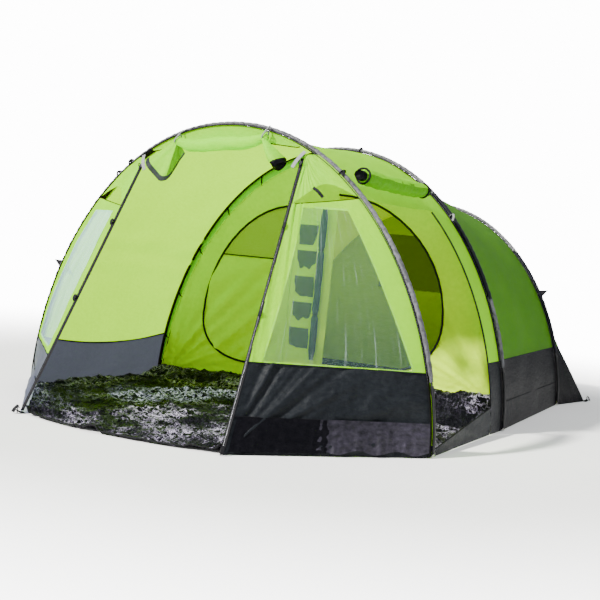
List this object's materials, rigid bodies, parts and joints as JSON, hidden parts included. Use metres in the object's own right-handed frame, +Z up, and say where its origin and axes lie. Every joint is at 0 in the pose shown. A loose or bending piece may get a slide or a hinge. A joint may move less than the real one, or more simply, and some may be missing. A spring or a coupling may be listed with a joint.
{
  "type": "tunnel tent",
  "caption": "Tunnel tent on hoop poles with a bell-ended porch, clear windows, a side doorway and a hung inner bedroom with two D-shaped doors.",
  "frame": {"origin": "on the ground, under the middle of the footprint (pegs included)", "axes": "+Z up, +Y from the front doorway to the rear slope, +X to the right of someone facing in through the doorway"},
  "size_m": [3.2186, 4.9322, 1.9715],
  "materials": {
    "flysheet": "coated polyester, satin",
    "band_cloth": "coated polyester, satin",
    "sleeve_cloth": "coated polyester, shiny",
    "inner_cloth": "breathable polyester, matt",
    "mesh": "net, matt",
    "groundsheet_film": "crinkled polyethylene, glossy",
    "clear_film": "clear soft PVC",
    "glass_fibre": "smooth",
    "coated_steel": "dark coated steel",
    "webbing": "woven webbing",
    "zip_tape": "coil zip on woven tape",
    "zip_slider_metal": "dark plated"
  },
  "bodies": {
    "tent": {"front_pole_bow": "glass_fibre", "front_pole_sleeve": "sleeve_cloth", "front_pole_leg_right": "coated_steel", "front_pole_leg_left": "coated_steel", "middle_pole_bow": "glass_fibre", "middle_pole_sleeve": "sleeve_cloth", "middle_pole_leg_right": "coated_steel", "middle_pole_leg_left": "coated_steel", "rear_pole_bow": "glass_fibre", "rear_pole_sleeve": "sleeve_cloth", "rear_pole_leg_right": "coated_steel", "rear_pole_leg_left": "coated_steel", "porch_roof": "flysheet", "porch_wall_left": "flysheet", "porch_mud_band_left": "band_cloth", "bedroom_roof": "flysheet", "bedroom_wall_right": "flysheet", "bedroom_mud_band_right": "band_cloth", "bedroom_wall_left": "flysheet", "bedroom_mud_band_left": "band_cloth", "side_door_strip_front": "flysheet", "side_door_strip_rear": "flysheet", "side_door_zip": "zip_tape", "side_door_sill": "band_cloth", "side_door_roll": "flysheet", "front_panel_left": "flysheet", "front_window_left": "clear_film", "front_mud_band_left": "band_cloth", "front_gusset_left": "flysheet", "front_zip_left": "zip_tape", "front_panel_right": "flysheet", "front_window_right": "clear_film", "front_mud_band_right": "band_cloth", "front_gusset_right": "flysheet", "front_zip_right": "zip_tape", "front_eyebrow": "flysheet", "front_door_roll": "flysheet", "rear_panel": "flysheet", "rear_mud_band": "band_cloth", "inner_front_wall": "inner_cloth", "inner_door_right_roll": "mesh", "organiser": "mesh", "inner_roof": "inner_cloth", "inner_wall_right": "inner_cloth", "inner_wall_left": "inner_cloth", "inner_rear_wall": "inner_cloth", "inner_rear_window": "mesh", "porch_groundsheet": "groundsheet_film", "bedroom_groundsheet": "groundsheet_film", "front_peg_left": "coated_steel", "front_peg_right": "coated_steel", "rear_peg_left": "coated_steel", "rear_peg_right": "coated_steel", "guy_tab_front_left": "webbing", "guy_tab_rear_left": "webbing", "guy_tab_rear_right": "webbing"},
    "zip_slider_left": {"front_zip_slider_left": "zip_slider_metal"},
    "zip_slider_right": {"front_zip_slider_right": "zip_slider_metal"},
    "inner_door_left": {"inner_door_left_cloth": "inner_cloth", "inner_door_left_mesh": "mesh"}
  },
  "joints": [
    {"name": "front_zip_slide_left", "type": "slide", "parent": "tent", "child": "zip_slider_left", "axis": [-0.0342, -0.4901, -0.871], "range_m": [0, 1.794]},
    {"name": "front_zip_slide_right", "type": "slide", "parent": "tent", "child": "zip_slider_right", "axis": [0.0955, -0.4731, -0.8758], "range_m": [0, 1.861]},
    {"name": "inner_door_left_swing", "type": "hinge", "parent": "tent", "child": "inner_door_left", "pos_m": [-0.3325, -0.0408, 0], "axis": [0, 0.04, 0.9992], "range_deg": [0, 100]}
  ]
}
